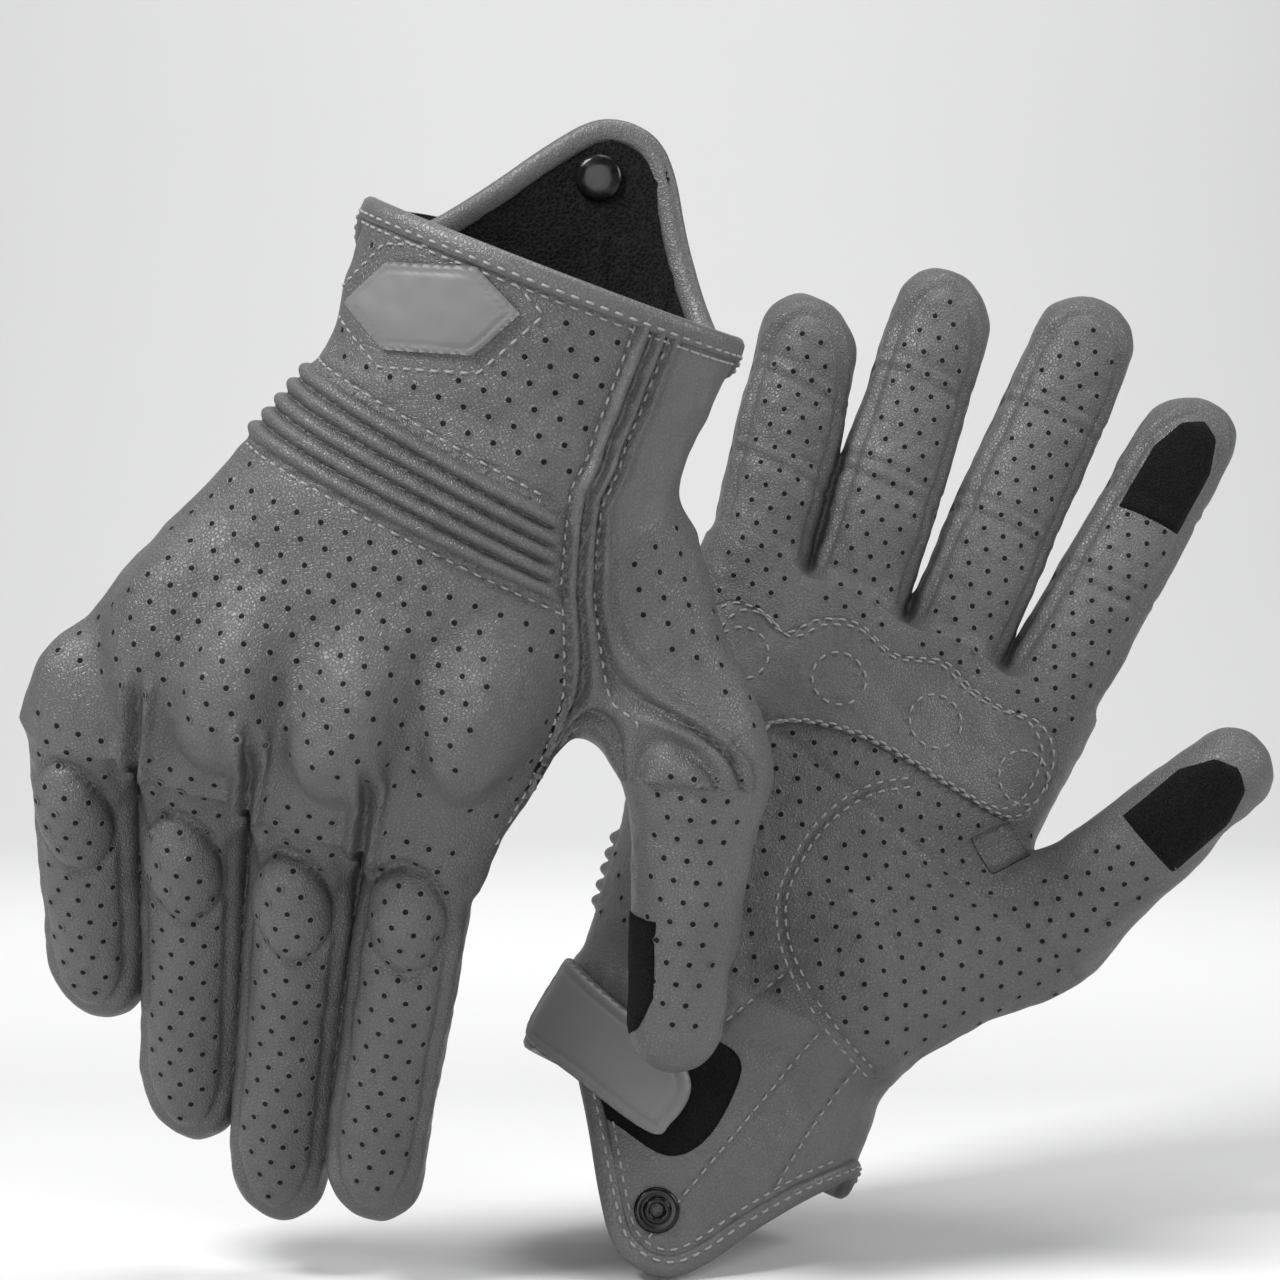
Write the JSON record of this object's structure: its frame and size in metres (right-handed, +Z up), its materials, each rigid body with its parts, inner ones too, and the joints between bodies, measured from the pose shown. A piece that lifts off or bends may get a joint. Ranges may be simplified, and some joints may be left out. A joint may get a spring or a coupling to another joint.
{
  "type": "riding gloves",
  "caption": "Short perforated leather riding gloves with a hard knuckle guard, padded fingers, touch-screen tips, a wrist strap and a snap.",
  "frame": {"origin": "middle of the near glove's cuff opening, on its back edge", "axes": "+Z up, +X to the right and +Y to the back as the gloves stand: near glove fingers down with its back to -Y, far glove fingers up with its palm to -Y"},
  "size_m": [0.2803, 0.15, 0.2585],
  "materials": {
    "perforated_leather": "perforated grey goat leather",
    "leather": "plain grey goat leather",
    "palm_leather": "smooth grey leather",
    "moulded_grey": "matt moulded rubber",
    "hard_shell": "moulded nylon",
    "gel": "soft gel",
    "black_knit": "knitted lining",
    "black_loop": "hook-and-loop tape",
    "touch_fabric": "conductive suede",
    "black_metal": "gloss black"
  },
  "bodies": {
    "near_hand": {"near_back_panel": "perforated_leather", "near_badge": "moulded_grey", "near_cuff_back": "perforated_leather", "near_cuff_binding": "leather", "near_cuff_lining": "black_knit", "near_cuff_palm": "palm_leather", "near_flex_panel": "leather", "near_knuckle_guard": "hard_shell", "near_loop_patch": "black_loop", "near_palm_pads": "gel", "near_palm_panel": "leather", "near_palm_patch": "palm_leather", "near_side_panel": "leather", "near_snap_fastener": "black_metal", "near_thumb_base": "perforated_leather", "near_web_gusset": "leather"},
    "near_index": {"near_index_back": "perforated_leather", "near_index_front": "perforated_leather", "near_index_touch_patch": "touch_fabric"},
    "near_middle": {"near_middle_back": "perforated_leather", "near_middle_front": "perforated_leather"},
    "near_ring": {"near_ring_back": "perforated_leather", "near_ring_front": "perforated_leather"},
    "near_little": {"near_little_back": "perforated_leather", "near_little_front": "perforated_leather"},
    "near_thumb": {"near_thumb_back": "perforated_leather", "near_thumb_front": "perforated_leather", "near_thumb_touch_patch": "touch_fabric"},
    "near_strap": {"near_closure_strap": "moulded_grey", "near_strap_hook": "black_loop"},
    "far_hand": {"far_back_panel": "perforated_leather", "far_badge": "moulded_grey", "far_cuff_back": "perforated_leather", "far_cuff_binding": "leather", "far_cuff_lining": "black_knit", "far_cuff_palm": "palm_leather", "far_flex_panel": "leather", "far_knuckle_guard": "hard_shell", "far_loop_patch": "black_loop", "far_palm_pads": "gel", "far_palm_panel": "leather", "far_palm_patch": "palm_leather", "far_side_panel": "leather", "far_snap_fastener": "black_metal", "far_thumb_base": "perforated_leather", "far_web_gusset": "leather"},
    "far_index": {"far_index_back": "perforated_leather", "far_index_front": "perforated_leather", "far_index_touch_patch": "touch_fabric"},
    "far_middle": {"far_middle_back": "perforated_leather", "far_middle_front": "perforated_leather"},
    "far_ring": {"far_ring_back": "perforated_leather", "far_ring_front": "perforated_leather"},
    "far_little": {"far_little_back": "perforated_leather", "far_little_front": "perforated_leather"},
    "far_thumb": {"far_thumb_back": "perforated_leather", "far_thumb_front": "perforated_leather", "far_thumb_touch_patch": "touch_fabric"},
    "far_strap": {"far_closure_strap": "moulded_grey", "far_strap_hook": "black_loop"}
  },
  "joints": [
    {"name": "near_index_flex", "type": "hinge", "parent": "near_hand", "child": "near_index", "pos_m": [-0.02818, 0.0261, -0.12195], "axis": [0.9797, -0.0593, -0.1915], "range_deg": [-6, 30], "stiffness_Nm_per_rad": 0.2},
    {"name": "near_middle_flex", "type": "hinge", "parent": "near_hand", "child": "near_middle", "pos_m": [-0.05208, 0.0261, -0.11278], "axis": [0.9834, -0.0811, -0.1625], "range_deg": [-8, 30], "stiffness_Nm_per_rad": 0.2},
    {"name": "near_ring_flex", "type": "hinge", "parent": "near_hand", "child": "near_ring", "pos_m": [-0.07598, 0.0261, -0.10361], "axis": [0.9852, -0.1058, -0.1351], "range_deg": [-9, 30], "stiffness_Nm_per_rad": 0.2},
    {"name": "near_little_flex", "type": "hinge", "parent": "near_hand", "child": "near_little", "pos_m": [-0.09988, 0.0261, -0.09443], "axis": [0.985, -0.1333, -0.1095], "range_deg": [-11, 30], "stiffness_Nm_per_rad": 0.2},
    {"name": "near_thumb_swing", "type": "hinge", "parent": "near_hand", "child": "near_thumb", "pos_m": [0.01483, 0.01005, -0.1081], "axis": [0.0375, 0.9945, 0.0976], "range_deg": [0, 12], "stiffness_Nm_per_rad": 0.2},
    {"name": "near_strap_open", "type": "hinge", "parent": "near_hand", "child": "near_strap", "pos_m": [-0.04457, 0.00073, 0.00965], "axis": [0.3564, -0.1045, 0.9285], "range_deg": [0, 100], "stiffness_Nm_per_rad": 0.05},
    {"name": "far_index_flex", "type": "hinge", "parent": "far_hand", "child": "far_index", "pos_m": [0.11486, 0.08708, -0.09616], "axis": [0.868, -0.0085, -0.4965], "range_deg": [0, 50], "stiffness_Nm_per_rad": 0.2},
    {"name": "far_middle_flex", "type": "hinge", "parent": "far_hand", "child": "far_middle", "pos_m": [0.09181, 0.08708, -0.08502], "axis": [0.9113, 0.0032, -0.4117], "range_deg": [0, 50], "stiffness_Nm_per_rad": 0.2},
    {"name": "far_ring_flex", "type": "hinge", "parent": "far_hand", "child": "far_ring", "pos_m": [0.06876, 0.08708, -0.07387], "axis": [0.9517, 0.017, -0.3066], "range_deg": [0, 50], "stiffness_Nm_per_rad": 0.2},
    {"name": "far_little_flex", "type": "hinge", "parent": "far_hand", "child": "far_little", "pos_m": [0.04571, 0.08708, -0.06273], "axis": [0.9706, 0.0217, -0.2396], "range_deg": [0, 50], "stiffness_Nm_per_rad": 0.2},
    {"name": "far_thumb_swing", "type": "hinge", "parent": "far_hand", "child": "far_thumb", "pos_m": [0.106, 0.08028, -0.13469], "axis": [-0.1588, -0.986, -0.051], "range_deg": [0, 18], "stiffness_Nm_per_rad": 0.2},
    {"name": "far_strap_open", "type": "hinge", "parent": "far_hand", "child": "far_strap", "pos_m": [-0.00958, 0.07922, -0.16868], "axis": [-0.4286, -0.1736, -0.8866], "range_deg": [0, 22], "stiffness_Nm_per_rad": 0.05},
    {"name": "far_glove_lift", "type": "slide", "parent": "near_hand", "child": "far_hand", "axis": [0, 0, 1], "range_m": [0, 0.28]}
  ]
}
